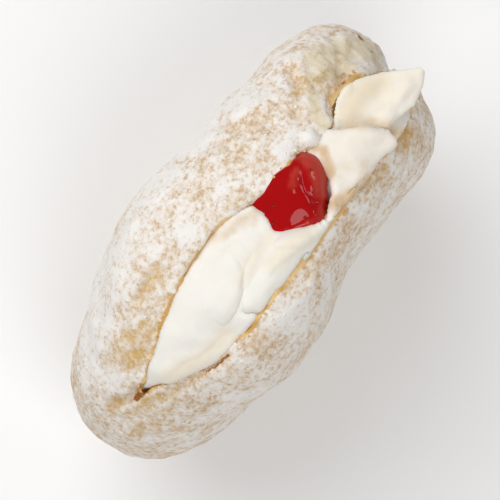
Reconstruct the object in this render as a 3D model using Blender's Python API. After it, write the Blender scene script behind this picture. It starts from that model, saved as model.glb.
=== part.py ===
"""A split doughnut filled with whipped cream and a dab of jam, standing on its hinge edge with the cut up.

Metres, +Z up. X runs along the cut, Y through the thickness and Z from the hinge edge to the lips of the cut.
The knife went in from the top and out through the far end (+X); the near end (-X) and the hinge edge stay whole.
The crown half, the doughnut's domed upper side, is on +Y, and the flatter heel half is on -Y.
"""

import math

import bmesh
import bpy
from mathutils import Quaternion, Vector, noise

# The closed doughnut, before the cream spreads its halves.
LENGTH = 0.106
HEIGHT = 0.092
THICKNESS = 0.041
OUTLINE_POWER = 2.15  # 2 is an ellipse seen from the side, more is squarer
RIM_POWER = 2.5  # the same, across the thickness
THINNER_AT_FAR_END = 0.12  # share by which the far end is thinner than the middle, and the near end thicker
BLUNT_FAR_END = 1.3  # 1 is as round as the near end
HEEL_SHORTFALL = 0.05  # share by which the heel half stops short at the far end
HEEL_STEP = 0.006  # over how much of the thickness that shortfall comes in
REST_SQUASH = 0.0022  # how far the soft hinge edge is pressed flat by its own weight
HALF_HEIGHT = (HEIGHT + REST_SQUASH) / 2
MIDDLE_Z = HALF_HEIGHT - REST_SQUASH

# The cut and how wide the cream holds it open.
CUT_TIP_X = -0.0455
CUT_DEEPEST_X = 0.008
CUT_FLOOR_Z = 0.027
FLOOR_RISE_NEAR = 16.0  # metres of rise for each square metre run, towards the tip
FLOOR_RISE_FAR = 8.5  # the same, towards the open end
KERF = 0.0009  # the cut's least width, at its bottom
CUT_REACH = 0.020  # how far the cutter passes the dough's top
CUT_OVERRUN = 0.008  # and its far end
CUT_STATIONS = 30
CUT_LEVELS = 9
TORN_WAVES = ((0.009, 0.0005),)  # wavelength and height of the torn crumb of its walls
CLEARANCE = 0.0003  # between neighbouring solids
# Pairs of x and value, which between() eases along.
SLANT = (
    (-0.046, 0.060),
    (-0.037, 0.150),
    (-0.027, 0.190),
    (-0.008, 0.158),
    (0.013, 0.098),
    (0.020, 0.112),
    (0.028, 0.103),
    (0.038, 0.150),
)
MIDLINE = (
    (-0.044, -0.0026),
    (-0.029, -0.0056),
    (-0.010, -0.0046),
    (0.014, -0.0068),
    (0.020, -0.0068),
    (0.028, -0.0078),
    (0.036, -0.0066),
)
SPREAD_SOFTNESS = 0.0026  # how near the cut the skin follows its half

# Swellings and hollows of the skin: x, side (+1 crown, -1 heel), z, reach and height.
SWELLS = (
    (-0.027, 1, 0.074, 0.012, -0.0022),
    (-0.010, 1, 0.042, 0.018, -0.0020),
    (0.004, 1, 0.062, 0.010, -0.0014),
    (0.026, 1, 0.066, 0.014, 0.0008),
    (0.040, 1, 0.060, 0.013, 0.0026),
    (0.050, 1, 0.058, 0.013, 0.0034),
    (-0.022, -1, 0.064, 0.017, 0.0010),
    (0.004, -1, 0.034, 0.022, -0.0012),
    (0.012, -1, 0.070, 0.012, -0.0022),
    (0.038, -1, 0.060, 0.013, 0.0062),
)
WAVES = ((0.024, 0.0010), (0.010, 0.00045))  # wavelength and height of the skin's unevenness
SKIN_CUTS = 19

# The cream, from near the tip to just inside the open end.
CREAM_START_X = -0.0425
CREAM_END_X = 0.0500
CREAM_OVERLAP = 0.0010  # into the dough, before the dough's own shape trims it
CREAM_NARROWS_X = 0.042  # past here it draws away from the walls of the cut
CREAM_END_GAP = 0.0016  # by this much at its far end
CREAM_FOOT = 0.004  # how far above the bottom of the cut it reaches down
CREAM_SINK = 0.0022  # its edges below the dough's crest
CREAM_LEAST = 0.0008  # half of its width at the foot, where the cut is narrower
CREAM_WAVES = ((0.008, 0.0007),)
CREAM_STATIONS = 40
CREAM_ACROSS = 13
# Piped swells of its top: x, y, reach along X, reach along Y and height.
LOBES = (
    (-0.022, -0.0045, 0.016, 0.0055, 0.0026),
    (-0.003, -0.0015, 0.008, 0.0040, 0.0014),
    (-0.004, -0.0108, 0.010, 0.0026, 0.0020),
    (-0.012, -0.0092, 0.007, 0.0012, -0.0012),
    (0.029, -0.0095, 0.007, 0.0060, 0.0034),
    (0.046, -0.0066, 0.005, 0.0100, -0.0020),
)
# A tongue of cream that the nozzle left past the open end: x, middle y, half width, top z and thickness.
TONGUE = (
    (0.0290, -0.0052, 0.0030, 0.0845, 0.0030),
    (0.0330, -0.0048, 0.0058, 0.0862, 0.0046),
    (0.0390, -0.0052, 0.0068, 0.0860, 0.0046),
    (0.0450, -0.0074, 0.0058, 0.0848, 0.0036),
    (0.0495, -0.0088, 0.0030, 0.0846, 0.0022),
    (0.0525, -0.0097, 0.0008, 0.0850, 0.0010),
)
TONGUE_POINTS = 12

# The dab of jam, pressed into the cream between the lips.
JAM_MIDDLE = Vector((0.0107, -0.0046, 0.0867))
JAM_RADII = Vector((0.0098, 0.0095, 0.0054))
JAM_TURN = math.radians(20)
JAM_WAVES = ((0.010, 0.0011), (0.0047, 0.0003))
JAM_CUTS = 7

DOUGH_COLOUR = (0.80, 0.68, 0.52, 1.0)
CREAM_COLOUR = (0.92, 0.88, 0.78, 1.0)
JAM_COLOUR = (0.42, 0.004, 0.006, 1.0)


def between(pairs, x):
    """A value that eases from one (x, value) pair to the next, and holds past both ends."""
    if x <= pairs[0][0]:
        return pairs[0][1]
    for (x0, v0), (x1, v1) in zip(pairs, pairs[1:]):
        if x <= x1:
            share = (x - x0) / (x1 - x0)
            return v0 + (v1 - v0) * share * share * (3 - 2 * share)
    return pairs[-1][1]


def blunted(x):
    """Pushes the far end's points outwards, so that it is rounder than an ellipse's end."""
    return x if x < 0 else LENGTH / 2 * (1 - (1 - min(x / (LENGTH / 2), 1.0)) ** BLUNT_FAR_END)


def crest(x):
    """Height of the closed doughnut's outline at x."""
    share = min(abs(x) / (LENGTH / 2), 1.0)
    if x > 0:
        share = 1 - (1 - share) ** (1 / BLUNT_FAR_END)
    return MIDDLE_Z + HALF_HEIGHT * (1 - share**OUTLINE_POWER) ** (1 / OUTLINE_POWER)


def cut_floor(x):
    """Height at which the knife stopped, lowest near the middle."""
    run = x - CUT_DEEPEST_X
    rise = FLOOR_RISE_NEAR if run < 0 else FLOOR_RISE_FAR
    return CUT_FLOOR_Z + rise * run * run


def half_gap(x, z):
    """How far each wall of the cut stands from the cut's middle line."""
    return between(SLANT, x) * max(z - cut_floor(x), 0.0)


def unevenness(point, waves, shift):
    """Smooth seeded noise, the sum of a few waves."""
    return sum(height * noise.noise(point / length + shift) for length, height in waves)


def material(name, colour, roughness):
    made = bpy.data.materials.new(name)
    made.use_nodes = True
    shader = made.node_tree.nodes["Principled BSDF"]
    shader.inputs["Base Color"].default_value = colour
    shader.inputs["Roughness"].default_value = roughness
    shader.inputs["Metallic"].default_value = 0.0
    return made


def mesh_object(name, bm, finish=None):
    """Puts a bmesh in the scene as an object. One with no finish is a helper that the render leaves out."""
    bmesh.ops.recalc_face_normals(bm, faces=bm.faces[:])
    mesh = bpy.data.meshes.new(name)
    bm.to_mesh(mesh)
    bm.free()
    made = bpy.data.objects.new(name, mesh)
    bpy.context.scene.collection.objects.link(made)
    if finish is None:
        made.hide_render = True
        made.display_type = "WIRE"
    else:
        mesh.materials.append(finish)
        mesh.shade_smooth()
    return made


def combine(target, other, operation):
    """Adds a Boolean that joins other to target, or cuts it away."""
    modifier = target.modifiers.new(f"{operation.lower()}_{other.name}", "BOOLEAN")
    modifier.operation = operation
    modifier.object = other


def ball(cuts):
    """A unit ball of even quads: a subdivided cube blown out to a sphere."""
    bm = bmesh.new()
    bmesh.ops.create_cube(bm, size=2.0)
    bmesh.ops.subdivide_edges(bm, edges=bm.edges[:], cuts=cuts, use_grid_fill=True)
    for vert in bm.verts:
        vert.co = Vector(math.tan(c * math.pi / 4) for c in vert.co).normalized()
    return bm


def tube(rings):
    """A closed body through rings of equal point counts, in triangles, with a fan over each end."""
    bm = bmesh.new()
    loops = [[bm.verts.new(point) for point in ring] for ring in rings]
    for first, second in zip(loops, loops[1:]):
        for i in range(len(first)):
            j = (i + 1) % len(first)
            bm.faces.new((first[i], first[j], second[j]))
            bm.faces.new((first[i], second[j], second[i]))
    for loop in (loops[0], loops[-1]):
        hub = bm.verts.new(sum((v.co for v in loop), Vector()) / len(loop))
        for i in range(len(loop)):
            bm.faces.new((loop[i], loop[(i + 1) % len(loop)], hub))
    return bm


def skin_point(direction):
    """Where the skin of the opened doughnut lies, in a direction from the closed one's middle."""
    x, y, z = direction
    half_thickness = THICKNESS / 2 * (1 - THINNER_AT_FAR_END * x)
    outline = (abs(x) / (LENGTH / 2)) ** OUTLINE_POWER + (abs(z) / HALF_HEIGHT) ** OUTLINE_POWER
    across = (abs(y) / half_thickness) ** RIM_POWER
    point = direction * (outline ** (RIM_POWER / OUTLINE_POWER) + across) ** (-1 / RIM_POWER)
    point.x = blunted(point.x)
    point.z += MIDDLE_Z

    side = point.y - between(MIDLINE, point.x)
    if side < 0 < point.x:
        point.x *= 1 - HEEL_SHORTFALL * min(-side / HEEL_STEP, 1.0)
    swell = unevenness(point, WAVES, Vector((3.1, 7.7, 1.9)))
    for sx, sign, sz, reach, height in SWELLS:
        distance = (point - Vector((sx, sign * half_thickness, sz))).length
        swell += height * math.exp(-((distance / reach) ** 2))
    point += direction * swell
    point.y += half_gap(point.x, point.z) * math.tanh(side / SPREAD_SOFTNESS)
    point.z = max(point.z, 0.0)
    return point


def skin(name, grown, finish=None):
    """The whole doughnut with no cut, grown outwards by a clearance."""
    bm = ball(SKIN_CUTS)
    for vert in bm.verts:
        vert.co = skin_point(vert.co)
    if grown:
        bm.normal_update()
        for vert in bm.verts:
            vert.co += vert.normal * grown
    return mesh_object(name, bm, finish)


def wall_y(x, z, side, inset):
    """The y of one wall of the cut, with the crumb's unevenness."""
    torn = unevenness(Vector((x, side * THICKNESS, z)), TORN_WAVES, Vector((5.0, 2.0, 8.0)))
    return between(MIDLINE, x) + side * (max(half_gap(x, z) + torn, KERF / 2) - inset)


def cut_ring(x, inset):
    """The cut's section at x: up the crown wall and down the heel wall."""
    low = cut_floor(x)
    rise = (HEIGHT + CUT_REACH - low) / CUT_LEVELS
    heights = [low + rise * i for i in range(CUT_LEVELS + 1)]
    ring = [Vector((x, wall_y(x, z, 1, inset), z)) for z in heights]
    return ring + [Vector((x, wall_y(x, z, -1, inset), z)) for z in heights[::-1]]


def knife_cut(name, narrowed=0.0):
    """The space that the knife and the cream opened, as a cutter that reaches out past the dough."""
    step = (LENGTH / 2 + CUT_OVERRUN - CUT_TIP_X) / CUT_STATIONS
    rings = [cut_ring(CUT_TIP_X + step * i, narrowed) for i in range(CUT_STATIONS + 1)]
    return mesh_object(name, tube(rings))


def cream_top(x, y):
    """Height of the cream's piped top."""
    height = crest(x) - CREAM_SINK
    for lx, ly, along, across, rise in LOBES:
        height += rise * math.exp(-(((x - lx) / along) ** 2) - ((y - ly) / across) ** 2)
    return height + unevenness(Vector((x, y, 0.0)), CREAM_WAVES, Vector((2.0, 9.0, 4.0)))


def cream_ring(x):
    """The cream's section at x: along its foot, up past the crown wall, over its top and down again."""
    middle = between(MIDLINE, x)
    low = cut_floor(x) + CREAM_FOOT
    beyond = between(((CREAM_NARROWS_X, CREAM_OVERLAP), (CREAM_END_X, -CREAM_END_GAP)), x)
    top_half = half_gap(x, crest(x) - CREAM_SINK) + beyond
    foot_half = max(half_gap(x, low) + beyond, CREAM_LEAST)
    ring = [Vector((x, middle - foot_half, low)), Vector((x, middle + foot_half, low))]
    for i in range(CREAM_ACROSS + 1):
        y = middle + top_half * (1 - 2 * i / CREAM_ACROSS)
        ring.append(Vector((x, y, cream_top(x, y))))
    return ring


def cream_mass(name, finish):
    rings = []
    for i in range(CREAM_STATIONS + 1):
        x = CREAM_START_X + (CREAM_END_X - CREAM_START_X) * i / CREAM_STATIONS
        rings.append(cream_ring(x))
    return mesh_object(name, tube(rings), finish)


def tongue(name):
    """The tongue of cream, a flattened tube whose sections thin out to its tip."""
    rings = []
    for x, middle, half_width, top, thickness in TONGUE:
        ring = []
        for i in range(TONGUE_POINTS):
            turn = 2 * math.pi * i / TONGUE_POINTS
            y = middle + half_width * math.cos(turn)
            ring.append(Vector((x, y, top - thickness / 2 * (1 - math.sin(turn)))))
        rings.append(ring)
    return mesh_object(name, tube(rings))


def jam_dab(name, grown=0.0, finish=None):
    """A lumpy dab, wider than the cut before the lips trim it."""
    bm = ball(JAM_CUTS)
    for vert in bm.verts:
        direction = vert.co.copy()
        vert.co = direction * (JAM_RADII + Vector((grown, grown, grown)))
        vert.co += direction * unevenness(direction * JAM_RADII.y, JAM_WAVES, Vector((1.0, 6.0, 3.0)))
        vert.co.rotate(Quaternion((0, 0, 1), JAM_TURN))
        vert.co += JAM_MIDDLE
    return mesh_object(name, bm, finish)


def centre_on_base(parts):
    """Moves everything so that the parts' box stands centred on the origin."""
    graph = bpy.context.evaluated_depsgraph_get()
    corners = [Vector(corner) for part in parts for corner in part.evaluated_get(graph).bound_box]
    low, high = (Vector(side(c[i] for c in corners) for i in range(3)) for side in (min, max))
    middle = Vector(((low.x + high.x) / 2, (low.y + high.y) / 2, low.z))
    for made in bpy.data.objects:
        made.location -= middle


def main():
    for old in list(bpy.data.objects):
        bpy.data.objects.remove(old)

    dough = skin("dough", 0.0, material("sugared_dough", DOUGH_COLOUR, 0.9))
    combine(dough, knife_cut("cut"), "DIFFERENCE")

    # Dough that is bigger all round by the clearance trims the filling to fit.
    around = skin("grown_dough", CLEARANCE)
    combine(around, knife_cut("narrowed_cut", CLEARANCE), "DIFFERENCE")

    jam = jam_dab("jam", 0.0, material("jam", JAM_COLOUR, 0.15))
    combine(jam, around, "DIFFERENCE")

    cream = cream_mass("cream", material("whipped_cream", CREAM_COLOUR, 0.5))
    combine(cream, tongue("tongue"), "UNION")
    combine(cream, jam_dab("jam_space", CLEARANCE), "DIFFERENCE")
    combine(cream, around, "DIFFERENCE")

    centre_on_base((dough, cream, jam))


main()
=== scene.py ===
import math
import random

import bpy
import numpy as np
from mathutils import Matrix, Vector, noise
from mathutils.bvhtree import BVHTree


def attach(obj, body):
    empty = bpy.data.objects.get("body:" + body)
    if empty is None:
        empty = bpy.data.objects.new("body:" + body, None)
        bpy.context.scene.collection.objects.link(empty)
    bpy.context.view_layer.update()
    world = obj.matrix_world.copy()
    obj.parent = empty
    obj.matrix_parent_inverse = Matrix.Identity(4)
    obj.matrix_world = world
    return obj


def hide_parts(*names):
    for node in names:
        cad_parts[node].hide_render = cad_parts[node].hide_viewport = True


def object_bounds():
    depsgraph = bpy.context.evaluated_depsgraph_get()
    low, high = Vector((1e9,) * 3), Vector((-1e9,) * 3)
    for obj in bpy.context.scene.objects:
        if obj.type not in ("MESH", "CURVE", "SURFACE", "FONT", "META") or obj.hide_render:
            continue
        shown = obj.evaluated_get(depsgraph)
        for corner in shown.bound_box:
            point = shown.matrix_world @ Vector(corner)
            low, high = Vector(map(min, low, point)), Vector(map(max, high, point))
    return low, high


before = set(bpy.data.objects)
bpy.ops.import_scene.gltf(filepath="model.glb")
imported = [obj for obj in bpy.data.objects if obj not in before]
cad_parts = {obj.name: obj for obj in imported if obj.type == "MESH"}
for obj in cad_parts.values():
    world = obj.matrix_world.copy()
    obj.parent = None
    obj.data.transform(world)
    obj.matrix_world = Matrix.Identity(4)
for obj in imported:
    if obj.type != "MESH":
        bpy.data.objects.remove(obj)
cad_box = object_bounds()
MM = 0.001


# ---- Dough -----------------------------------------------------------------------------------
# A yeast dough bun, proved, pressed oval and deep-fried, so its skin is a thin golden-brown crust with soft
# dents and wrinkles. It was split with a knife, and the torn crumb shows as a golden line along both lips.
# Icing sugar was sieved over it: thick on top, thin and speckled where the bun was handled or sweated.

DOUGH_GRAIN = 0.66  # mm between points of the finished skin
# Distances from the filling in mm: where the smooth skin starts and where it is whole, and the same for the
# torn lips.
SKIN = (0.8, 3.2)
TORN_LIPS = (2.8, 1.2)
SKIN_ROUNDS, LIP_ROUNDS = 34, 4  # of smoothing: the skin alone, then all of it
SKIN_LUMPS = ((8.0, 1.2), (3.0, 0.5))  # size and height of the skin's unevenness, in mm
TORN_LUMPS = ((4.0, 1.3), (1.7, 0.9))  # the same along the torn lips
SMEAR_LUMPS = ((3.0, 0.8), (1.5, 0.5))  # the same where cream was smeared over the skin
UPPER_SIDE = (50.0, 62.0)  # mm of height over which lines given without heights start to act

# Lines and spots on the skin: places (x, y) seen from above, or (x, y, z), in mm.
KNIFE_END = ((-42.6, -2.4), (-45.6, -1.0), (-48.2, 1.8))
SCRATCH = ((-20.6, 10.4), (-24.2, 9.9), (-28.2, 9.6))
FAR_FOLD = ((14.0, 20.6, 80.7), (15.1, 15.6, 88.5), (14.9, 12.0, 90.4))
NEAR_FOLD = ((9.7, 18.2, 86.1), (11.1, 12.5, 90.6))
FINGER_DENT = ((19.9, 11.4), (17.1, 13.7))
TEAR_BY_TONGUE = ((41.0, 4.4), (37.0, 2.8), (32.0, 0.6))
OPEN_END = ((51.0, -2.5, 76.0), (53.2, -2.5, 62.0), (54.0, -2.5, 50.0), (53.6, -2.5, 38.0))
TEAR_BY_LIP = ((33.8, 4.6), (31.6, 0.6))
PINCH = ((33.0, 14.0), (32.0, 11.5), (29.6, 9.4))
HEEL_SPLIT = ((-41.5, -6.4), (-36.5, -9.4), (-31.7, -11.6), (-26.3, -13.8))

# A line, its half width in mm and its depth in mm, below 0 where the skin stands up.
OPEN_END_PRESSED = (OPEN_END, 3.6, 3.0)
DENTS = (
    (SCRATCH, 1.0, 0.9),
    (KNIFE_END, 0.9, 1.7),
    (FAR_FOLD, 1.5, 0.9),
    (NEAR_FOLD, 1.3, 0.6),
    (FINGER_DENT, 2.2, 0.8),
    (TEAR_BY_TONGUE, 1.5, 1.4),
    OPEN_END_PRESSED,
    (TEAR_BY_LIP, 1.8, 0.4),
    (PINCH, 1.5, 1.0),
    (HEEL_SPLIT, 0.8, 0.5),
    (((23.1, 0.9),), 1.4, -1.5),
    (((21.0, 4.2), (17.2, 4.6)), 2.0, -0.6),
    (((36.0, 8.4, 84.2), (45.2, 8.2, 75.7)), 4.0, 0.5),
    (((47.1, 9.5, 72.7),), 1.6, -0.7),
)
# Where cream was smeared over the skin: a line, its reach in mm and how much lies there.
SMEAR_LINES = (
    (((39.0, 10.8), (45.4, 7.6), (48.0, 5.4)), 7.6, 0.95),
    (((34.6, 8.8), (42.4, 4.6)), 4.6, 0.9),
    (((34.0, 9.0), (31.0, 6.0), (28.6, 3.2), (27.4, 0.6)), 3.4, 0.95),
)
SMEAR_RELIEF = 0.8  # share of the smear's own unevenness that shows


def select_only(piece):
    bpy.ops.object.select_all(action="DESELECT")
    piece.select_set(True)
    bpy.context.view_layer.objects.active = piece


def finish_with(piece, kind, **settings):
    """Adds a modifier with its settings and applies it."""
    select_only(piece)
    modifier = piece.modifiers.new(kind.title(), kind)
    for name, value in settings.items():
        setattr(modifier, name, value)
    bpy.ops.object.modifier_apply(modifier=modifier.name)


def copy_of(node, name):
    """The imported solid's shape as a new piece, with the points that its triangles share made one."""
    piece = bpy.data.objects.new(name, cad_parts[node].data.copy())
    bpy.context.scene.collection.objects.link(piece)
    piece.data.materials.clear()
    select_only(piece)
    bpy.ops.object.mode_set(mode="EDIT")
    bpy.ops.mesh.select_all(action="SELECT")
    bpy.ops.mesh.remove_doubles(threshold=0.00001)
    bpy.ops.object.mode_set(mode="OBJECT")
    return piece


def remesh(piece, grain):
    finish_with(piece, "REMESH", mode="VOXEL", voxel_size=grain * MM)


def soften(piece, rounds, group=""):
    finish_with(piece, "SMOOTH", factor=0.5, iterations=rounds, vertex_group=group)


def points_of(piece):
    points = np.empty(len(piece.data.vertices) * 3)
    piece.data.vertices.foreach_get("co", points)
    return points.reshape(-1, 3)


def normals_of(piece):
    normals = np.empty(len(piece.data.vertices) * 3)
    piece.data.vertices.foreach_get("normal", normals)
    return normals.reshape(-1, 3)


def place_points(piece, points):
    piece.data.vertices.foreach_set("co", points.ravel())
    piece.data.update()


def ramp(values, start, end):
    """0 at the start and before it, 1 at the end and past it, straight between them."""
    return ((values - start) / (end - start)).clip(0, 1)


def ease(share):
    return share * share * (3 - 2 * share)


def near_line(points, line, reach):
    """1 on a line through places in mm, easing to 0 at its reach."""
    places = np.array(line, float) * MM
    upper = 1.0
    if places.shape[1] == 2:
        upper = ramp(points[:, 2] / MM, *UPPER_SIDE)
        points = points[:, :2]
    nearest = np.full(len(points), np.inf)
    for start, end in zip(places, places[1:] if len(places) > 1 else places):
        run = end - start
        share = ((points - start) @ run / max(run @ run, 1e-12)).clip(0, 1)
        nearest = np.minimum(nearest, np.linalg.norm(points - start - share[:, None] * run, axis=1))
    return ease(ramp(nearest / MM, reach, 0.0)) * upper


def strongest(points, lines):
    """The most that any of some lines gives, at each point."""
    weights = np.zeros(len(points))
    for line, reach, amount in lines:
        weights = np.maximum(weights, near_line(points, line, reach) * amount)
    return weights


def facing_up(normals):
    """1 where a surface faces up, down to 0 where it stands nearly upright."""
    return ramp(normals[:, 2], 0.1, 0.4)


def press(piece, lines, only_above=False):
    """Presses dents and raises ridges along lines, all round a piece or on its upper side only."""
    points, normals = points_of(piece), normals_of(piece)
    share = facing_up(normals) if only_above else 1.0
    moved = points.copy()
    for line, half_width, depth in lines:
        moved -= normals * (near_line(points, line, 2 * half_width) * share * depth * MM)[:, None]
    place_points(piece, moved)


def lump(piece, lumps, group=""):
    """Makes a surface uneven, with lumps of each size and height in mm."""
    for size, height in lumps:
        unevenness = bpy.data.textures.new(f"{piece.name}_{size}", "CLOUDS")
        unevenness.noise_scale = size * MM
        unevenness.noise_depth = 1
        finish_with(piece, "DISPLACE", texture=unevenness, strength=height * MM, mid_level=0.5,
                    texture_coords="LOCAL", vertex_group=group)


def group_of(piece, name, weights):
    group = piece.vertex_groups.new(name=name)
    for i, weight in enumerate(weights):
        if weight > 0:
            group.add([i], float(weight), "REPLACE")


def distance_to(points, trees):
    """Distance in mm from each point to the nearest of some surfaces."""
    return np.array([min(tree.find_nearest(point)[3] for tree in trees) for point in points]) / MM


dough = copy_of("dough", "fried_dough")
remesh(dough, DOUGH_GRAIN)
filling = []
for node in ("cream", "jam"):
    filling.append(BVHTree.FromObject(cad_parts[node], bpy.context.evaluated_depsgraph_get()))
from_filling = distance_to(points_of(dough), filling)
group_of(dough, "skin", ramp(from_filling, *SKIN))
group_of(dough, "torn", ramp(from_filling, *TORN_LIPS))
soften(dough, SKIN_ROUNDS, "skin")
soften(dough, LIP_ROUNDS)
press(dough, DENTS)
group_of(dough, "smeared", strongest(points_of(dough), SMEAR_LINES) * SMEAR_RELIEF)
lump(dough, SMEAR_LUMPS, "smeared")
lump(dough, SKIN_LUMPS, "skin")
lump(dough, TORN_LUMPS, "torn")

# The sugar's thinness is 0 where it hides the crust and 1 where it's nearly bare: what it is all over, and
# its patches, as their size in mm, how much they differ and where their noise starts.
THIN_ALL_OVER = 0.42
THIN_PATCHES = ((13.0, 0.36, (3.0, 1.0, 7.0)), (5.0, 0.34, (8.0, 4.0, 2.0)))
# Where it lies thinner: a line, its reach in mm and how much thinner.
THIN = (
    (SCRATCH, 2.6, 0.8),
    (KNIFE_END, 2.6, 0.9),
    (TEAR_BY_TONGUE, 2.8, 1.1),
    (TEAR_BY_LIP, 2.8, 1.0),
    (PINCH, 3.0, 0.75),
    (HEEL_SPLIT, 1.7, 0.75),
    (FINGER_DENT, 4.2, 0.6),
    (FAR_FOLD, 2.4, 0.35),
    (((9.6, 12.2),), 5.0, 0.35),
    (((-24.1, 4.3),), 2.0, 0.9),
    (((-35.2, 6.5), (-32.7, 4.5)), 3.4, 0.85),
    (((-39.4, 3.2), (-36.5, 2.6)), 3.4, 1.5),
    (((-47.1, -2.6), (-44.4, -4.4)), 2.4, 1.0),
    (((-48.4, -5.9),), 2.0, 0.9),
    (((-40.0, 6.7),), 3.6, 0.65),
    (((-37.8, 13.4, 73.5),), 3.6, 0.5),
    (((-49.7, -5.6, 61.4),), 2.8, 0.7),
    (((-41.6, -6.6, 75.0),), 2.2, 1.2),
    (((38.0, 16.8, 78.3),), 2.6, 0.6),
    (((51.1, 7.9, 63.8), (50.4, 4.2, 65.5), (48.0, -0.4, 70.3)), 2.4, 1.0),
    (((25.3, 7.8), (27.2, 3.0)), 3.0, 0.55),
    (((-20.8, -19.1), (-21.9, -15.7)), 4.2, 0.5),
    (((-3.0, -15.7, 89.6), (9.3, -19.0, 82.1)), 3.5, 0.4),
    (((12.6, -17.3, 84.7),), 3.0, 0.5),
    (((23.1, -15.1), (28.0, -15.8)), 2.6, 0.7),
    (((35.0, -15.2), (39.0, -14.6)), 3.2, 1.3),
    (((45.1, -12.2, 70.8),), 3.0, 0.6),
)
# Where the bare crust is golden rather than tan: a line, its reach in mm and how golden.
GOLDEN = (
    (SCRATCH, 4.0, 1.0),
    (KNIFE_END, 4.0, 1.0),
    (((-24.1, 4.3), (-35.2, 5.5), (-40.0, 5.0)), 8.0, 1.0),
    (TEAR_BY_TONGUE, 6.0, 1.0),
    (((30.0, 6.0), (36.0, 10.0)), 7.0, 0.6),
    (((51.1, 7.9, 63.8), (48.0, -0.4, 70.3)), 5.0, 1.0),
    (((-44.0, 1.0), (-47.0, -4.0), (-42.0, -7.0)), 8.0, 0.9),
    (((-12.0, 6.0), (0.0, 6.0)), 4.0, 0.7),
    (((20.0, -15.5), (32.0, -15.0), (42.0, -14.0)), 5.0, 0.6),
)
# Where it lies thicker: a line, its reach in mm and how much thicker.
THICK = (
    (((-10.3, 9.1),), 4.5, 0.8),
    (((-21.5, 18.9, 84.5),), 6.0, 0.7),
    (((21.0, 3.6), (17.0, 3.4)), 3.2, 0.8),
    (((23.1, 0.9),), 2.2, 1.0),
    (((-8.9, -19.9, 87.1),), 6.0, 0.6),
    (((47.1, 9.5, 72.7),), 2.6, 1.0),
    (((-49.0, 10.6), (-41.0, 16.2), (-30.0, 19.0), (-18.8, 20.6), (-5.2, 21.2), (9.7, 21.2), (22.8, 20.6)),
     6.5, 0.5),
)
SUGAR_THICKNESS = 0.3  # mm of icing sugar where it lies thick
# The torn crumb's width beside the filling and its fade in mm, and its waver, as size and height in mm and
# where its noise starts.
CRUMB_WIDTH = 0.4
CRUMB_FADE = 0.7
CRUMB_WAVER = (4.0, 0.5, (5.0, 5.0, 1.0))
# Where the torn crumb is wider: a line, its reach and how much wider, in mm.
TORN_EDGES = (
    (((-37.0, 0.6), (-29.0, 2.2), (-23.4, 2.9), (-15.3, 4.4), (-9.1, 5.4)), 3.6, 1.1),
    (((-14.0, 4.8), (-8.6, 5.4), (-3.0, 4.0)), 3.0, 1.5),
    (((-19.0, -12.8), (-4.4, -13.2), (3.8, -13.7), (14.0, -13.4)), 3.6, 1.7),
    (((42.0, 2.6), (34.0, 1.8)), 4.4, 2.5),
    (((-41.0, -2.2),), 3.0, 0.8),
    (((19.0, -14.4), (29.0, -15.6), (37.0, -14.0)), 4.0, 0.2),
)
# Where the crust fried brown or the knife left it dark, and painted shade in hollows by the tongue and in
# gaps
# along the heel lip: a line, its reach in mm and how brown.
BROWN_SPOTS_AND_SHADE = (
    (((-42.6, -2.6), (-44.4, -2.0)), 1.5, 1.3),
    (KNIFE_END, 1.4, 0.35),
    (((-16.0, -13.0), (-17.4, -13.4)), 1.2, 0.8),
    (((-26.0, -13.6), (-29.6, -12.6), (-31.4, -11.8)), 0.9, 0.9),
    (((30.2, -15.3),), 1.6, 0.6),
    (((35.8, -15.4),), 2.6, 0.5),
    (((40.2, 4.0), (37.6, 3.0)), 2.6, 0.6),
    (((13.8, -12.9),), 1.2, 0.7),
    (((36.0, 2.0), (33.4, 1.2)), 1.6, 0.5),
    (((50.4, 7.4, 66.3),), 2.8, 1.1),
    (((50.0, 3.6, 67.5),), 2.4, 0.8),
    (((-37.8, 13.4, 73.5),), 2.6, 0.35),
    (((8.6, 12.6),), 2.0, 0.3),
)


def mottle(points, size, shift):
    """Smooth seeded noise between about -1 and 1, with lumps of a size in mm."""
    start = Vector(shift)
    return np.array([noise.noise(Vector(point) / (size * MM) + start) for point in points])


def weigh(piece, name, weights):
    """Stores one number for each point, as an attribute that materials can read."""
    attribute = piece.data.attributes.new(name, "FLOAT", "POINT")
    attribute.data.foreach_set("value", weights.astype(np.float32))


points = points_of(dough)
from_filling = distance_to(points, filling)
thin = THIN_ALL_OVER + strongest(points, THIN) - strongest(points, THICK)
for size, difference, start in THIN_PATCHES:
    thin += difference * mottle(points, size, start)
size, height, start = CRUMB_WAVER
torn_width = CRUMB_WIDTH + height * mottle(points, size, start) + strongest(points, TORN_EDGES)
crumb = ramp(from_filling - torn_width, CRUMB_FADE, 0.0)
smear = strongest(points, SMEAR_LINES)
thickness = (1.0 - thin.clip(0, 1)) * (1.0 - crumb) * SUGAR_THICKNESS * MM
place_points(dough, points + normals_of(dough) * thickness[:, None])
weigh(dough, "thin", thin)
weigh(dough, "crumb", crumb)
weigh(dough, "smear", smear)
weigh(dough, "golden", strongest(points, GOLDEN))
weigh(dough, "browned_or_shaded", strongest(points, BROWN_SPOTS_AND_SHADE))

DRIFT_SIZE = 5.263  # mm across a drift of sugar
SPECK_SIZE = 1.3158  # mm across a bare speck, broken into finer ones
# Sieved sugar is about ten times finer than this, too fine to show, so its grain is drawn coarser.
GRAIN_SIZE = 0.5263  # mm
GRAIN_HEIGHT = 0.3  # mm
SUGAR = "#F5F1EC"
THIN_SUGAR = "#E6D5C0"
SPECK = "#CDA679"
GOLDEN_CRUST = "#D8B168"
# Browned crust, and also the painted shade in hollows by the tongue and along the heel lip.
BROWNED_OR_SHADED = "#A0662F"
CRUMB = "#EBCC96"
DEEP_CRUMB = "#D6A862"
SMEAR = "#E7DABF"
SMEARED_CRUST = "#CDB080"


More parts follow.
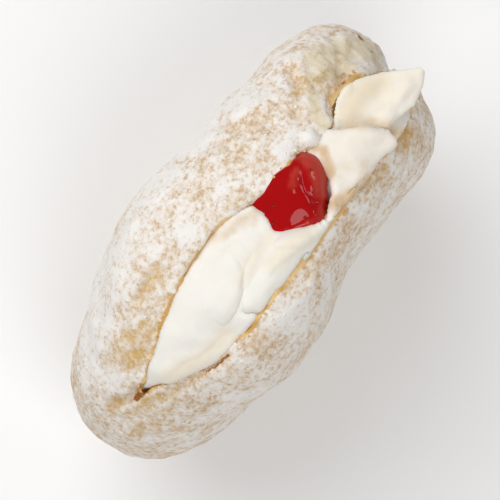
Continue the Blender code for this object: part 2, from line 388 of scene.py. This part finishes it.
def linear(code):
    """An sRGB hex colour, turned linear for a shader."""
    channels = [int(code[i:i + 2], 16) / 255 for i in (1, 3, 5)]
    return [c / 12.92 if c <= 0.04045 else ((c + 0.055) / 1.055) ** 2.4 for c in channels] + [1.0]


def add_node(tree, kind, settings=None, links=None):
    """Adds a node, sets its properties and sockets, and links other nodes' outputs to its inputs."""
    node = tree.nodes.new("ShaderNode" + kind)
    for name, value in (settings or {}).items():
        if isinstance(name, str) and hasattr(node, name):
            setattr(node, name, value)
        else:
            node.inputs[name].default_value = value
    for name, output in (links or {}).items():
        tree.links.new(output, node.inputs[name])
    return node


def new_material(name):
    material = bpy.data.materials.new(name)
    material.use_nodes = True
    material.node_tree.nodes.clear()
    return material, material.node_tree


# Fried yeast crust under sieved icing sugar: quite matt, white where the sugar lies thick, speckled tan where
# it's thin, golden and pored where the inside is torn open, and pale and streaky where cream was smeared on.
sugared_crust, tree = new_material("fried_crust_under_icing_sugar")
place = add_node(tree, "TexCoord").outputs["Object"]
drift = add_node(tree, "TexNoise", {"Scale": 1 / (DRIFT_SIZE * MM), "Detail": 3.0, "Roughness": 0.6},
                 {"Vector": place}).outputs[0]
speck = add_node(tree, "TexNoise", {"Scale": 1 / (SPECK_SIZE * MM), "Detail": 4.0, "Roughness": 0.75},
                 {"Vector": place}).outputs[0]
grain = add_node(tree, "TexNoise", {"Scale": 1 / (GRAIN_SIZE * MM), "Detail": 2.0, "Roughness": 0.6},
                 {"Vector": place}).outputs[0]
thin_here = add_node(tree, "Attribute", {"attribute_name": "thin"}).outputs["Fac"]
crumb_here = add_node(tree, "Attribute", {"attribute_name": "crumb"}).outputs["Fac"]
smear_here = add_node(tree, "Attribute", {"attribute_name": "smear"}).outputs["Fac"]
golden_here = add_node(tree, "Attribute", {"attribute_name": "golden"}).outputs["Fac"]
browned_or_shaded_here = add_node(tree, "Attribute", {"attribute_name": "browned_or_shaded"}).outputs["Fac"]

# Thinner sugar first veils the crust and then bares it, in drifts with specks in them.
drifts = add_node(tree, "Math", {"operation": "MULTIPLY_ADD", 1: 0.8, 2: 0.1}, {0: drift}).outputs[0]
cover = add_node(tree, "Math", {"operation": "MULTIPLY_ADD", 1: 0.36}, {0: thin_here, 2: drifts}).outputs[0]
veil = add_node(tree, "Math", {"operation": "MULTIPLY_ADD", 1: 0.9}, {0: speck, 2: cover}).outputs[0]
veil = add_node(tree, "MapRange", {"interpolation_type": "SMOOTHSTEP", "From Min": 0.86, "From Max": 1.30},
                {"Value": veil}).outputs[0]
bared = add_node(tree, "Math", {"operation": "MULTIPLY_ADD", 1: 0.42}, {0: cover, 2: speck}).outputs[0]
bared = add_node(tree, "Math", {"operation": "MULTIPLY_ADD", 1: 0.25}, {0: grain, 2: bared}).outputs[0]
bared = add_node(tree, "MapRange", {"interpolation_type": "SMOOTHSTEP", "From Min": 0.88, "From Max": 1.20},
                 {"Value": bared}).outputs[0]
crust = add_node(tree, "Mix", {"data_type": "RGBA", 6: linear(SPECK), 7: linear(GOLDEN_CRUST)},
                 {0: golden_here}).outputs[2]
colour = add_node(tree, "Mix", {"data_type": "RGBA", 6: linear(SUGAR), 7: linear(THIN_SUGAR)},
                  {0: veil}).outputs[2]
colour = add_node(tree, "Mix", {"data_type": "RGBA"}, {0: bared, 6: colour, 7: crust}).outputs[2]

# Cream smeared over the skin, in streaks.
smeared = add_node(tree, "Math", {"operation": "MULTIPLY_ADD", 1: 1.2}, {0: speck, 2: smear_here}).outputs[0]
smeared = add_node(tree, "MapRange", {"interpolation_type": "SMOOTHSTEP", "From Min": 0.9, "From Max": 1.5},
                   {"Value": smeared}).outputs[0]
streaky = add_node(tree, "MapRange", {"interpolation_type": "SMOOTHSTEP", "From Min": 0.5, "From Max": 0.72},
                   {"Value": drift}).outputs[0]
smear_colour = add_node(tree, "Mix", {"data_type": "RGBA", 6: linear(SMEAR), 7: linear(SMEARED_CRUST)},
                        {0: streaky}).outputs[2]
colour = add_node(tree, "Mix", {"data_type": "RGBA"}, {0: smeared, 6: colour, 7: smear_colour}).outputs[2]

# The torn crumb with its pores, the browned spots and painted shade, and the relief of all of it.
torn = add_node(tree, "Math", {"operation": "ADD"}, {0: speck, 1: crumb_here}).outputs[0]
torn = add_node(tree, "MapRange", {"interpolation_type": "SMOOTHSTEP", "From Min": 0.95, "From Max": 1.25},
                {"Value": torn}).outputs[0]
pores = add_node(tree, "MapRange", {"interpolation_type": "SMOOTHSTEP", "From Min": 0.42, "From Max": 0.66},
                 {"Value": drift}).outputs[0]
crumb_colour = add_node(tree, "Mix", {"data_type": "RGBA", 6: linear(CRUMB), 7: linear(DEEP_CRUMB)},
                        {0: pores}).outputs[2]
colour = add_node(tree, "Mix", {"data_type": "RGBA"}, {0: torn, 6: colour, 7: crumb_colour}).outputs[2]
browned_or_shaded = add_node(tree, "Math", {"operation": "ADD"}, {0: speck, 1: browned_or_shaded_here}).outputs[0]
browned_or_shaded = add_node(tree, "MapRange", {"interpolation_type": "SMOOTHSTEP", "From Min": 0.95, "From Max": 1.3},
                   {"Value": browned_or_shaded}).outputs[0]
colour = add_node(tree, "Mix", {"data_type": "RGBA", 7: linear(BROWNED_OR_SHADED)}, {0: browned_or_shaded, 6: colour}).outputs[2]
relief = add_node(tree, "Math", {"operation": "MULTIPLY_ADD", 1: -0.8}, {0: bared, 2: grain}).outputs[0]
bump = add_node(tree, "Bump", {"Strength": 0.5, "Distance": GRAIN_HEIGHT * MM}, {"Height": relief}).outputs[0]
shader = add_node(tree, "BsdfPrincipled", {"Roughness": 0.9, "Specular IOR Level": 0.2},
                  {"Base Color": colour, "Normal": bump}).outputs[0]
add_node(tree, "OutputMaterial", links={"Surface": shader})
dough.data.materials.append(sugared_crust)
select_only(dough)
bpy.ops.object.shade_smooth()
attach(dough, "root")
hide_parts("dough")


# ---- Sugar clumps and crumbs -----------------------------------------------------------------
# Icing sugar that had drawn damp falls in small clumps, which sit on the powder. Splitting the bun tore
# golden crumbs off the soft inside, which cling along both lips.

CLUMPS, CLUMP_SIZES, CLUMP_FLATNESS = 170, (0.5, 1.0), 0.34  # how many, mm across, height for their width
CRUMBS, CRUMB_SIZES, CRUMB_FLATNESS = 170, (0.35, 0.9), 0.8
CRUMBS_ABOVE = 68.0  # mm of height, so that they lie along the lips only
CLUMP_CLEARANCE = 1.2  # mm from the filling
PEBBLE_LIFT = 0.2  # share of its size that a bit sits up
BREAD = "#EFD9AE"
BREAD_SHADE = "#C48F4C"
BREAD_MOTTLE = 3.333  # mm across a paler or browner patch


def strew(name, spots, normals, sizes, flatness, chance):
    """Small rough bits lying on a surface, joined into one mesh."""
    bpy.ops.object.select_all(action="DESELECT")
    bpy.ops.mesh.primitive_ico_sphere_add(subdivisions=1, radius=0.5, location=(0, 0, 0))
    pebble = bpy.context.object
    shape = points_of(pebble)
    sides = [tuple(side.vertices) for side in pebble.data.polygons]
    bpy.data.objects.remove(pebble)
    points, faces = [], []
    for spot, normal in zip(spots, normals):
        size = chance.uniform(*sizes) * MM
        tilt = Vector(normal).to_track_quat("Z", "Y").to_matrix()
        turn = chance.uniform(0, 2 * math.pi)
        long, short = chance.uniform(0.9, 1.35), chance.uniform(0.7, 1.0)
        first = len(points)
        for corner in shape * [chance.uniform(0.75, 1.1) for _ in shape[0]]:
            x, y, z = corner * size * (1 + chance.uniform(-0.18, 0.18))
            x, y = x * long, y * short
            x, y = x * math.cos(turn) - y * math.sin(turn), x * math.sin(turn) + y * math.cos(turn)
            points.append(Vector(spot) + tilt @ Vector((x, y, (z + PEBBLE_LIFT * size) * flatness)))
        faces += [tuple(first + corner for corner in side) for side in sides]
    mesh = bpy.data.meshes.new(name)
    mesh.from_pydata(points, [], faces)
    piece = bpy.data.objects.new(name, mesh)
    bpy.context.scene.collection.objects.link(piece)
    return piece


chance = random.Random(11)
points, normals = points_of(dough), normals_of(dough)
sugared = (thin < 0.75) & (smear < 0.2) & (from_filling > CLUMP_CLEARANCE)
chosen = chance.sample(list(np.flatnonzero((normals[:, 2] > 0.15) & sugared)), CLUMPS)
sugar_clumps = strew("sugar_clumps", points[chosen], normals[chosen], CLUMP_SIZES, CLUMP_FLATNESS, chance)

# Damp icing sugar, caked: the same white as the powder, and as matt.
caked_sugar, tree = new_material("caked_icing_sugar")
shader = add_node(tree, "BsdfPrincipled", {"Base Color": linear(SUGAR), "Roughness": 0.95,
                                           "Specular IOR Level": 0.2}).outputs[0]
add_node(tree, "OutputMaterial", links={"Surface": shader})
sugar_clumps.data.materials.append(caked_sugar)
select_only(sugar_clumps)
bpy.ops.object.shade_smooth()
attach(sugar_clumps, "root")

high_up = (normals[:, 2] > 0.3) & (points[:, 2] > CRUMBS_ABOVE * MM)
chosen = chance.sample(list(np.flatnonzero((crumb > 0.05) & (crumb < 0.9) & high_up)), CRUMBS)
torn_crumbs = strew("torn_crumbs", points[chosen], normals[chosen], CRUMB_SIZES, CRUMB_FLATNESS, chance)

# The bun's soft inside, fried through: dry and matt, from cream to golden brown.
bread, tree = new_material("soft_bread_crumb")
place = add_node(tree, "TexCoord").outputs["Object"]
shades = add_node(tree, "TexNoise", {"Scale": 1 / (BREAD_MOTTLE * MM), "Detail": 2.0},
                  {"Vector": place}).outputs[0]
colour = add_node(tree, "Mix", {"data_type": "RGBA", 6: linear(BREAD), 7: linear(BREAD_SHADE)},
                  {0: shades}).outputs[2]
shader = add_node(tree, "BsdfPrincipled", {"Roughness": 0.9, "Specular IOR Level": 0.2},
                  {"Base Color": colour}).outputs[0]
add_node(tree, "OutputMaterial", links={"Surface": shader})
torn_crumbs.data.materials.append(bread)
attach(torn_crumbs, "root")


# ---- Whipped cream ---------------------------------------------------------------------------
# Whipped cream piped into the cut until it stood level with the lips, in soft lobes that lap over each other.
# The nozzle was drawn off over the open end, which left a squarish lump and a thin curled tongue there.

CREAM_GRAIN = 0.42  # mm between points of the finished cream
# It presses into the crumb on both sides, which closes the gap beside it, except low at the open end.
CREAM_SPREAD = 0.7  # mm
CREAM_ROUNDS, LAP_ROUNDS, BED_ROUNDS = 16, 2, 20  # of smoothing: before shaping, after laps, beside the bed
CREAM_LUMPS = ((7.0, 0.8), (2.8, 0.3))
IN_CUT = ((31.0, 25.0), (-43.0, -38.0))  # mm of x over which the spread fades out at both ends
UNDER_CROWN = (44.0, 38.0)  # the same for the face against the crown half
TIP, TIP_BACK = (-38.0, -44.0), 1.4  # mm of x where the near tip starts and ends, and mm that it draws back
TONGUE = (30.0, 50.0)  # mm of x from the tongue's root to its tip
TONGUE_FOLD = (((37.8, 3.2),), 4.0)  # its corner by the crown half, and the fold's reach in mm
TONGUE_CORNER = (0.5, -1.0, 0.0)  # mm that this corner is folded in
TONGUE_SAG = (0.6, 0.3, 0.6)  # mm that the tip draws back and sinks
JAM_MIDDLE = (10.7, -4.6)
# How far the jam spreads from there: directions in degrees from +X towards +Y, and reaches in mm.
JAM_SPREAD = ((-180, 10.0), (-175, 10.3), (-166, 9.7), (-151, 8.8), (-133, 7.9), (-112, 7.9), (-95, 7.7),
              (-72, 7.0), (-34, 7.1), (-8, 9.0), (6, 10.1), (20, 10.3), (29, 10.2), (34, 8.8), (47, 6.8),
              (68, 6.2), (105, 6.2), (126, 7.4), (134, 9.6), (142, 10.6), (149, 9.4), (154, 8.5), (164, 8.9),
              (176, 9.4), (180, 10.0))
BED = (0.7, 1.7)  # mm inside the jam's outline where its bed starts and where it is whole
BED_DEPTH = 1.5  # mm
BESIDE_BED = 2.4  # mm on both sides of that outline that are smoothed
BED_ABOVE = 70.0  # mm of height, so that only the cream's top is smoothed
LAP_EDGE = 0.7  # mm over which a lobe's edge drops
LAP_ENDS = 0.18  # share of a lap's length over which it rises and falls

# A line, its half width in mm and its depth in mm, below 0 where the cream stands up.
CREAM_PRESSED = (
    (((-36.0, -2.4), (-29.0, -1.4), (-22.0, -0.3)), 3.6, -1.0),
    (((-19.5, -5.6), (-15.0, -3.4), (-11.0, -1.2)), 3.4, -1.0),
    (((-14.6, -11.4), (-9.5, -9.4), (-3.5, -9.2), (3.0, -10.8)), 3.0, -1.0),
    (((-6.0, 0.8), (-3.0, -1.2), (-0.6, -2.6)), 2.2, 0.8),
    (((-16.0, 3.2), (-10.0, 4.2), (-4.0, 3.0), (2.0, 1.8)), 1.4, -0.7),
    (((-0.5, -8.4), (4.0, -11.9), (9.0, -13.0), (13.5, -12.0)), 0.7, -1.0),
    (((21.5, -0.5), (22.3, -4.5), (18.5, -8.5), (15.0, -11.0)), 1.8, -0.6),
    (((26.0, -5.5), (30.0, -10.0), (32.0, -13.0)), 3.4, -1.3),
    (((16.0, -12.6), (22.0, -14.8), (28.0, -16.0)), 1.6, 0.6),
    (((31.0, -4.2), (36.0, -5.4), (41.0, -6.4)), 2.6, 1.7),
    (((-16.4, -10.8), (-15.4, -12.2), (-14.8, -13.6)), 0.6, 1.2),
    (((28.2, -1.6), (30.0, -4.8), (32.8, -8.2), (35.4, -12.6)), 0.8, 1.6),
    (((29.4, -0.8), (33.0, 0.4), (37.2, 1.2)), 0.9, -0.8),
    (((37.2, 1.2), (44.9, -3.0), (51.0, -8.8)), 0.8, -0.5),
    (((36.0, -10.4), (41.3, -8.6), (47.0, -8.6)), 1.1, -0.8),
)
# Edges where one lobe laps over the next, with the upper lobe on the line's left: its reach back and its
# height in mm.
CREAM_LAPS = (
    (((-21.7, -5.2), (-21.0, -8.3), (-17.7, -8.6), (-10.6, -5.4), (-8.2, 0.4)), 4.5, 0.5),
    (((-2.7, -6.0), (-5.7, -5.6), (-10.0, -6.4), (-15.8, -11.0), (-15.3, -13.2)), 3.0, 0.5),
    (((-11.6, -10.2), (-4.5, -10.2), (5.4, -12.9)), 2.4, 0.35),
    (((-38.5, -4.4), (-33.0, -5.7), (-29.3, -8.0), (-22.9, -9.3)), 2.6, 0.22),
    (((-35.6, -7.0), (-30.9, -9.4), (-26.8, -10.9)), 1.8, 0.15),
    (((30.0, -15.4), (33.6, -14.2), (34.2, -11.8), (31.4, -7.6), (27.4, -2.6)), 3.6, 1.6),
)
# Where the cream is yellower, from lying thin and picking up fat, and where crumb shows through it or painted
# shade lies under the lips and in hollows: a line, its reach in mm and how much.
BUTTERY = (
    (((24.0, -6.0), (31.0, -12.0)), 9.0, 0.3),
    (((33.0, -3.0), (38.0, -1.5), (43.0, -3.5)), 6.0, 1.0),
    (((34.0, -5.0), (48.0, -8.0)), 8.0, 0.4),
    (((-12.0, -6.5), (-5.0, -5.5), (0.0, -5.5)), 2.6, 0.5),
    (((-4.5, -9.5), (5.4, -12.0)), 4.0, 0.6),
    (((-38.0, -5.5), (-30.0, -9.5), (-23.0, -11.0)), 3.4, 0.7),
)
CREAM_OVER_CRUMB_AND_SHADE = (
    (((-8.0, 4.6), (-2.4, 2.0), (2.4, 0.0)), 4.0, 0.5),
    (((21.5, 1.2), (22.6, -3.2), (19.5, -7.5)), 2.6, 1.0),
    (((14.0, -12.2), (20.0, -14.6), (29.0, -16.5)), 3.6, 1.0),
    (((19.0, -9.0), (25.0, -13.0)), 5.0, 0.4),
    (((31.0, -4.5), (35.0, -8.0), (36.5, -11.5)), 3.4, 0.6),
    (((36.0, -12.5), (38.5, -15.5)), 3.0, 0.8),
)


def lap(piece, laps):
    """Raises the upper side on the left of each line, highest at the line, with a sharp drop on its right."""
    for line, reach, height in laps:
        points, normals = points_of(piece), normals_of(piece)
        places = np.array(line, float) * MM
        flat = points[:, :2]
        nearest = np.full(len(points), np.inf)
        left = np.zeros(len(points))
        along = np.zeros(len(points))
        lengths = np.linalg.norm(np.diff(places, axis=0), axis=1)
        gone = 0.0
        for start, end, length in zip(places, places[1:], lengths):
            run = end - start
            share = ((flat - start) @ run / (run @ run)).clip(0, 1)
            distance = np.linalg.norm(flat - start - share[:, None] * run, axis=1)
            closer = distance < nearest
            nearest[closer] = distance[closer]
            side = run[0] * (flat[:, 1] - start[1]) - run[1] * (flat[:, 0] - start[0])
            left[closer] = side[closer]
            along[closer] = (gone + share * length)[closer]
            gone += length
        ends = ramp(np.minimum(along, gone - along), 0.0, LAP_ENDS * gone)
        raised = ease(ramp(nearest / MM, np.where(left > 0, reach, LAP_EDGE), 0.0))
        place_points(piece, points + normals * (raised * ends * facing_up(normals) * height * MM)[:, None])


def from_jam(points):
    """Each place's way from the jam's middle, its distance and bearing, and the jam's reach that way."""
    away = points[:, :2] - np.array(JAM_MIDDLE) * MM
    bearing = np.degrees(np.arctan2(away[:, 1], away[:, 0]))
    return away, np.linalg.norm(away, axis=1), bearing, np.interp(bearing, *zip(*JAM_SPREAD)) * MM


cream = copy_of("cream", "piped_cream")
remesh(cream, CREAM_GRAIN)
soften(cream, CREAM_ROUNDS)
press(cream, (OPEN_END_PRESSED,))
press(cream, CREAM_PRESSED, only_above=True)
lap(cream, CREAM_LAPS)
soften(cream, LAP_ROUNDS)
lump(cream, CREAM_LUMPS)

# It spreads to both sides of the cut, its tip draws back, and its tongue folds and sags.
points, normals = points_of(cream), normals_of(cream)
x = points[:, 0] / MM
in_cut = ramp(x, *IN_CUT[0]) * ramp(x, *IN_CUT[1])
in_cut += ((normals[:, 1] - 0.1) * 2 * ramp(x, *UNDER_CROWN)).clip(0, 1)
points += normals * (in_cut.clip(0, 1) * CREAM_SPREAD * MM)[:, None]
x = points[:, 0] / MM
drawn_out = ramp(x, *TONGUE)
points[:, 0] += ramp(x, *TIP) * TIP_BACK * MM
points += near_line(points, *TONGUE_FOLD)[:, None] * np.array(TONGUE_CORNER) * MM
points -= drawn_out[:, None] * np.array(TONGUE_SAG) * MM
place_points(cream, points)

# The jam's bed.
points, normals = points_of(cream), normals_of(cream)
_, distance, _, reach = from_jam(points)
points[:, 2] -= ramp((reach - distance) / MM, *BED) * facing_up(normals) * BED_DEPTH * MM
place_points(cream, points)
group_of(cream, "bed", ramp(abs(distance - reach) / MM, BESIDE_BED, 0.0) * (points[:, 2] > BED_ABOVE * MM))
soften(cream, BED_ROUNDS, "bed")
weigh(cream, "buttery", strongest(points_of(cream), BUTTERY))
weigh(cream, "over_crumb_and_shade", strongest(points_of(cream), CREAM_OVER_CRUMB_AND_SHADE))

CREAM = "#F8F3EB"
BUTTERY_CREAM = "#EFE3CC"
# Where crumb shows through the cream, and painted shade under the lips and in hollows.
CREAM_ON_CRUMB_AND_SHADE = "#D9BE98"
FAT_SIZE = 3.125  # mm across a patch of richer cream
FAT_HEIGHT = 0.3  # mm
# Metres that red, green and blue light go in, before the shader's own scale of 0.6.
LIGHT_REACH = (0.0022, 0.0018, 0.0014)

# Whipped cream, an airy foam of fat: light goes a little way in, so its edges glow softly, with a dull satin
# sheen.
whipped_cream, tree = new_material("whipped_cream")
place = add_node(tree, "TexCoord").outputs["Object"]
fat = add_node(tree, "TexNoise", {"Scale": 1 / (FAT_SIZE * MM), "Detail": 4.0}, {"Vector": place}).outputs[0]
buttery_here = add_node(tree, "Attribute", {"attribute_name": "buttery"}).outputs["Fac"]
over_crumb_and_shade_here = add_node(tree, "Attribute", {"attribute_name": "over_crumb_and_shade"}).outputs["Fac"]
colour = add_node(tree, "Mix", {"data_type": "RGBA", 6: linear(CREAM), 7: linear(BUTTERY_CREAM)},
                  {0: buttery_here}).outputs[2]
# Beige in patches where crumb shows through, and painted shade under the lips and in hollows.
patchy = add_node(tree, "Math", {"operation": "ADD"}, {0: fat, 1: over_crumb_and_shade_here}).outputs[0]
patchy = add_node(tree, "MapRange", {"interpolation_type": "SMOOTHSTEP", "From Min": 0.6, "From Max": 1.6},
                  {"Value": patchy}).outputs[0]
colour = add_node(tree, "Mix", {"data_type": "RGBA", 7: linear(CREAM_ON_CRUMB_AND_SHADE)},
                  {0: patchy, 6: colour}).outputs[2]
bump = add_node(tree, "Bump", {"Strength": 0.2, "Distance": FAT_HEIGHT * MM}, {"Height": fat}).outputs[0]
shader = add_node(tree, "BsdfPrincipled",
                  {"Roughness": 0.45, "Specular IOR Level": 0.3, "Subsurface Weight": 0.5,
                   "Subsurface Radius": LIGHT_REACH, "Subsurface Scale": 0.6},
                  {"Base Color": colour, "Normal": bump}).outputs[0]
add_node(tree, "OutputMaterial", links={"Surface": shader})
cream.data.materials.append(whipped_cream)
select_only(cream)
bpy.ops.object.shade_smooth()
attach(cream, "root")
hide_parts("cream")


# ---- Jam -------------------------------------------------------------------------------------
# A spoonful of red berry jam, set and glossy, pressed into the cream so that it spread against both lips. It
# tails off to a point under the crown lip, and thins towards the far end, where it is rough with fruit.

JAM_GRAIN = 0.3  # mm between points of the finished jam
JAM_ROUNDS, SPREAD_ROUNDS = 24, 8  # of smoothing, before and after it's spread
JAM_FLATNESS = 1.8  # above 1, the dab's top is flatter and its rim steeper
SECTOR = 6  # degrees of the dab's rim that are measured as one
JAM_SWELL = 0.35  # mm that it swells against the cream and the lips
JAM_LUMPS = ((6.0, 0.5),)
JAM_PRESSED = (
    (((16.9, -1.6), (14.6, -3.7), (13.1, -5.7), (12.3, -8.5)), 0.6, 0.55),
    (((18.4, -2.4), (17.0, -5.4), (14.2, -8.4)), 1.6, -0.5),
    (((13.4, -2.3), (11.6, -3.2)), 0.7, -0.35),
    (((3.8, -2.4), (3.9, -6.6)), 0.8, 0.4),
    (((2.2, -7.1), (4.7, -8.9), (7.7, -10.4)), 0.6, -0.3),
)
JAM_FAR_RIM = ((21.2, 0.8), (20.6, -5.5), (17.4, -9.0), (14.0, -11.4))
SLOPE_REACH, SLOPE = 5.0, 2.4  # mm from that rim over which the jam slopes down to it, and mm that it drops
# Where it's thin enough for the cream to lighten it, and a painted pale reflection on its far slope: a line,
# its reach in mm and how much.
THIN_JAM_AND_HAZE = (
    (((19.3, -0.6), (18.6, -4.6), (15.6, -8.4)), 4.2, 1.0),
    (((15.2, -1.4), (12.0, -2.6)), 2.4, 0.6),
    (((0.4, -4.9), (1.8, -7.3), (4.7, -9.8), (9.0, -11.8), (13.0, -10.6)), 2.2, 0.55),
)

jam = copy_of("jam", "jam_dab")
remesh(jam, JAM_GRAIN)
soften(jam, JAM_ROUNDS)
points = points_of(jam)
away, distance, bearing, reach = from_jam(points)
sectors = ((bearing + 180) / SECTOR).astype(int) % (360 // SECTOR)
rim = np.array([distance[sectors == sector].max() for sector in range(360 // SECTOR)])
rim = np.interp(bearing, np.arange(360 // SECTOR) * SECTOR + SECTOR / 2 - 180, rim, period=360)
flattened = 1 - (1 - (distance / rim).clip(0, 1)) ** JAM_FLATNESS
points[:, :2] += away * (flattened * reach / distance.clip(0.0001) - 1)[:, None]
points[:, 2] -= near_line(points, JAM_FAR_RIM, SLOPE_REACH) * SLOPE * MM
place_points(jam, points)
soften(jam, SPREAD_ROUNDS)
press(jam, JAM_PRESSED, only_above=True)
lump(jam, JAM_LUMPS)
place_points(jam, points_of(jam) + normals_of(jam) * JAM_SWELL * MM)
weigh(jam, "thin_jam_and_haze", strongest(points_of(jam), THIN_JAM_AND_HAZE))

JAM = "#A80004"
# Thin jam lightened by the cream, and the painted pale reflection on the far slope.
PALE_JAM_AND_HAZE = "#B83A2E"
PULP_SIZE = 2.381  # mm across a shred of fruit
PULP_HEIGHT = 0.4  # mm

# Boiled berries set with pectin: deep red and wet, with sharp highlights, cloudy with pulp where it's thin.
# Its far slope is also paler from a painted reflection.
red_jam, tree = new_material("set_berry_jam")
place = add_node(tree, "TexCoord").outputs["Object"]
pulp = add_node(tree, "TexNoise", {"Scale": 1 / (PULP_SIZE * MM), "Detail": 3.0, "Roughness": 0.65},
                {"Vector": place}).outputs[0]
thin_jam_and_haze_here = add_node(tree, "Attribute", {"attribute_name": "thin_jam_and_haze"}).outputs["Fac"]
pale = add_node(tree, "Math", {"operation": "MULTIPLY_ADD", 1: 0.9}, {0: pulp, 2: thin_jam_and_haze_here}).outputs[0]
pale = add_node(tree, "MapRange", {"interpolation_type": "SMOOTHSTEP", "From Min": 0.6, "From Max": 1.4},
                {"Value": pale}).outputs[0]
colour = add_node(tree, "Mix", {"data_type": "RGBA", 6: linear(JAM), 7: linear(PALE_JAM_AND_HAZE)},
                  {0: pale}).outputs[2]
shreds = add_node(tree, "Math", {"operation": "MULTIPLY"}, {0: pulp, 1: thin_jam_and_haze_here}).outputs[0]
bump = add_node(tree, "Bump", {"Strength": 0.5, "Distance": PULP_HEIGHT * MM}, {"Height": shreds}).outputs[0]
shader = add_node(tree, "BsdfPrincipled", {"Roughness": 0.08, "Specular IOR Level": 0.22},
                  {"Base Color": colour, "Normal": bump}).outputs[0]
add_node(tree, "OutputMaterial", links={"Surface": shader})
jam.data.materials.append(red_jam)
select_only(jam)
bpy.ops.object.shade_smooth()
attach(jam, "root")
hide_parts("jam")

# A few seeds stand up through the jam's skin, each at its (x, y) in mm.
SEEDS = ((8.0, -9.1), (5.8, -2.3), (13.8, -7.0), (17.4, -3.6), (2.9, -4.2))
SEED_SIZES, SEED_FLATNESS = (0.7, 1.0), 0.3
SEED_RED = "#8E120C"
points, normals = points_of(jam), normals_of(jam)
top = np.flatnonzero(normals[:, 2] > 0.3)
chosen = [top[np.argmin(np.linalg.norm(points[top, :2] - np.array(seed) * MM, axis=1))] for seed in SEEDS]
seeds = strew("jam_seeds", points[chosen], normals[chosen], SEED_SIZES, SEED_FLATNESS, chance)

# Berry seeds with a skin of jam over them: a browner red, as wet as the jam.
seed_skin, tree = new_material("seeds_under_jam")
shader = add_node(tree, "BsdfPrincipled", {"Base Color": linear(SEED_RED), "Roughness": 0.15}).outputs[0]
add_node(tree, "OutputMaterial", links={"Surface": shader})
seeds.data.materials.append(seed_skin)
select_only(seeds)
bpy.ops.object.shade_smooth()
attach(seeds, "root")


# ---- Floor, light and camera -----------------------------------------------------------------
# A plain white table under soft studio light, seen from almost above. The large lamp stands on the crown
# half's side, a smaller one fills in from the other side, and a third shows only as a glint in gloss.

TABLE_SIZE = 6.0  # metres
TABLE_WHITE = "#FDFDFD"

low, high = cad_box
middle = (low + high) / 2
bpy.ops.object.select_all(action="DESELECT")
bpy.ops.mesh.primitive_plane_add(size=TABLE_SIZE, location=(0, 0, low.z))
floor = bpy.context.object
floor.name = "floor"

# White-painted board: plain and nearly matt.
white_table, tree = new_material("white_painted_table")
shader = add_node(tree, "BsdfPrincipled", {"Base Color": linear(TABLE_WHITE), "Roughness": 0.8,
                                           "Specular IOR Level": 0.1}).outputs[0]
add_node(tree, "OutputMaterial", links={"Surface": shader})
floor.data.materials.append(white_table)


def look_from(azimuth, elevation):
    """Unit vector towards a place round the object. Azimuth 0 is on -Y and 90 on +X."""
    turn, rise = math.radians(azimuth), math.radians(elevation)
    return Vector((math.sin(turn) * math.cos(rise), -math.cos(turn) * math.cos(rise), math.sin(rise)))


def soft_light(name, azimuth, elevation, distance, size, power, lights=True, mirrored=True):
    """A round lamp, in metres and watts, that lights the object, shows in its gloss, or both."""
    lamp = bpy.data.lights.new(name, "AREA")
    lamp.shape = "DISK"
    lamp.size = size
    lamp.energy = power
    light = bpy.data.objects.new(name, lamp)
    bpy.context.scene.collection.objects.link(light)
    away = look_from(azimuth, elevation)
    light.location = middle + away * distance
    light.rotation_mode = "QUATERNION"
    light.rotation_quaternion = away.to_track_quat("Z", "Y")
    light.visible_diffuse = lights
    light.visible_glossy = mirrored


soft_light("key", 172, 55, 0.9, 1.0, 5.0, mirrored=False)
soft_light("fill", -35, 61, 0.9, 0.45, 2.4)
soft_light("glint", 60, 40, 0.9, 0.28, 1.1, lights=False)
world = bpy.data.worlds.new("white_studio")
world.use_nodes = True
walls = world.node_tree.nodes["Background"]
walls.inputs["Color"].default_value = (1.0, 1.0, 1.0, 1.0)
walls.inputs["Strength"].default_value = 0.34
bpy.context.scene.world = world
bpy.context.scene.view_settings.view_transform = "Standard"

VIEW = look_from(-53, 82)
FRAME_WIDTH = 0.112  # metres that the frame takes in at the doughnut's middle
lens = bpy.data.cameras.new("camera")
lens.lens = 1000  # mm: seen from far off, with hardly any perspective
camera = bpy.data.objects.new("camera", lens)
bpy.context.scene.collection.objects.link(camera)
camera.location = middle + VIEW * (FRAME_WIDTH / (lens.sensor_width / lens.lens))
camera.rotation_mode = "QUATERNION"
camera.rotation_quaternion = VIEW.to_track_quat("Z", "Y")
bpy.context.scene.camera = camera
